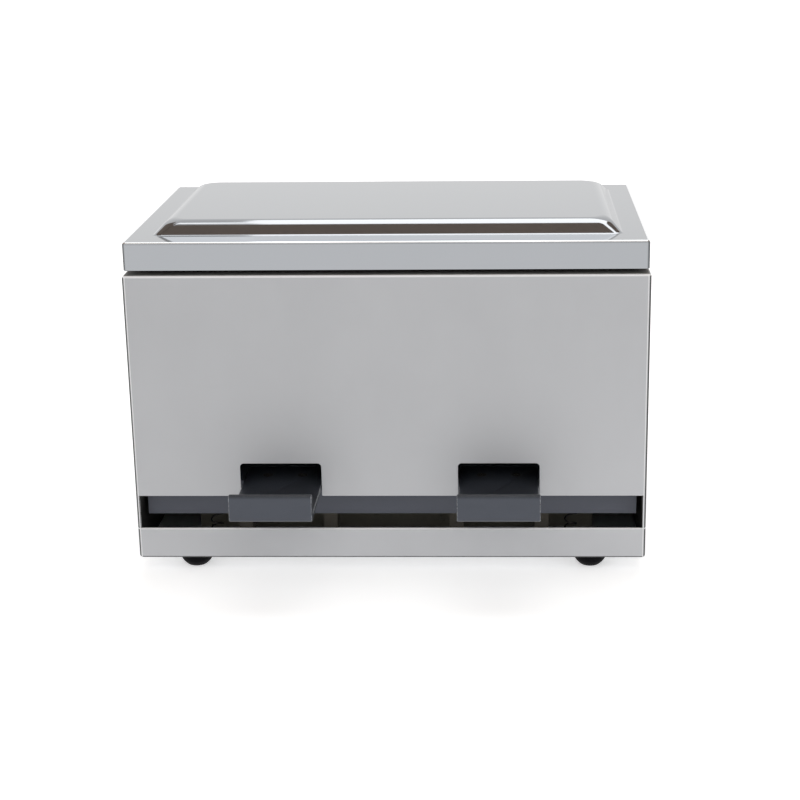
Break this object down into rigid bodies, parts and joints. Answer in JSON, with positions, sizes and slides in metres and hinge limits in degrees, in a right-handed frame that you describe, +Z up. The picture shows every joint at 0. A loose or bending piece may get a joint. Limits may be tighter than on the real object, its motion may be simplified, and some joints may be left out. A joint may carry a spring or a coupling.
{
  "type": "chopstick dispenser",
  "caption": "Steel chopstick dispenser box with a rear-hinged flip lid and a sprung tilting shelf worked by two front levers with upturned lips.",
  "frame": {"origin": "on the table, under the middle of the bounding box with the levers and the hinge in it", "axes": "+X to the right seen from the front, +Y from the front to the back, +Z up"},
  "size_m": [0.292, 0.2392, 0.2011],
  "materials": {
    "brushed_steel": "fine-ground stainless sheet",
    "lid_steel": "polished stainless sheet, pressed",
    "lever_plastic": "fine-textured grey moulding",
    "shelf_plastic": "fine-textured dark grey moulding",
    "post_plastic": "natural moulding",
    "bush_plastic": "smooth nylon",
    "rubber": "matt black rubber",
    "rod_steel": "ground bright steel",
    "zinc_steel": "zinc-plated",
    "coated_steel": "dark brown coating",
    "spring_steel": "drawn wire"
  },
  "bodies": {
    "box": {"base_pan": "brushed_steel", "front_panel": "brushed_steel", "back_panel": "brushed_steel", "side_panel_left": "brushed_steel", "side_panel_right": "brushed_steel", "hopper_floor": "brushed_steel", "metering_baffle": "brushed_steel", "rest_rail": "coated_steel", "rail_cushion": "rubber", "pivot_rod": "rod_steel", "rod_clips": "zinc_steel", "post_screws": "zinc_steel", "spring_seats": "post_plastic", "return_spring_left": "spring_steel", "return_spring_right": "spring_steel", "foot_screws": "zinc_steel", "foot_washers": "zinc_steel", "foot_nuts": "zinc_steel", "hinge_leaf_body": "zinc_steel", "hinge_pin": "rod_steel", "hinge_rivets_body": "zinc_steel", "pivot_post_1": "post_plastic", "pivot_post_2": "post_plastic", "pivot_post_3": "post_plastic", "pivot_post_4": "post_plastic", "foot_front_left": "rubber", "foot_front_right": "rubber", "foot_rear_left": "rubber", "foot_rear_right": "rubber"},
    "shelf": {"dispensing_shelf": "shelf_plastic", "pivot_bushes": "bush_plastic", "press_lever_left": "lever_plastic", "press_lever_right": "lever_plastic", "lever_screws": "coated_steel"},
    "lid": {"lid_shell": "lid_steel", "lid_rim": "lid_steel", "lid_bumpers": "rubber", "hinge_leaf_lid": "zinc_steel", "hinge_rivets_lid": "zinc_steel"}
  },
  "joints": [
    {"name": "shelf_tilt", "type": "hinge", "parent": "box", "child": "shelf", "pos_m": [0, -0.0376, 0.0425], "axis": [1, 0, 0], "range_deg": [0, 28], "stiffness_Nm_per_rad": 0.15, "springref_deg": -22.92, "deforming": ["return_spring_left", "return_spring_right"]},
    {"name": "lid_hinge", "type": "hinge", "parent": "box", "child": "lid", "pos_m": [0, 0.1157, 0.1765], "axis": [-1, 0, 0], "range_deg": [0, 105]}
  ]
}
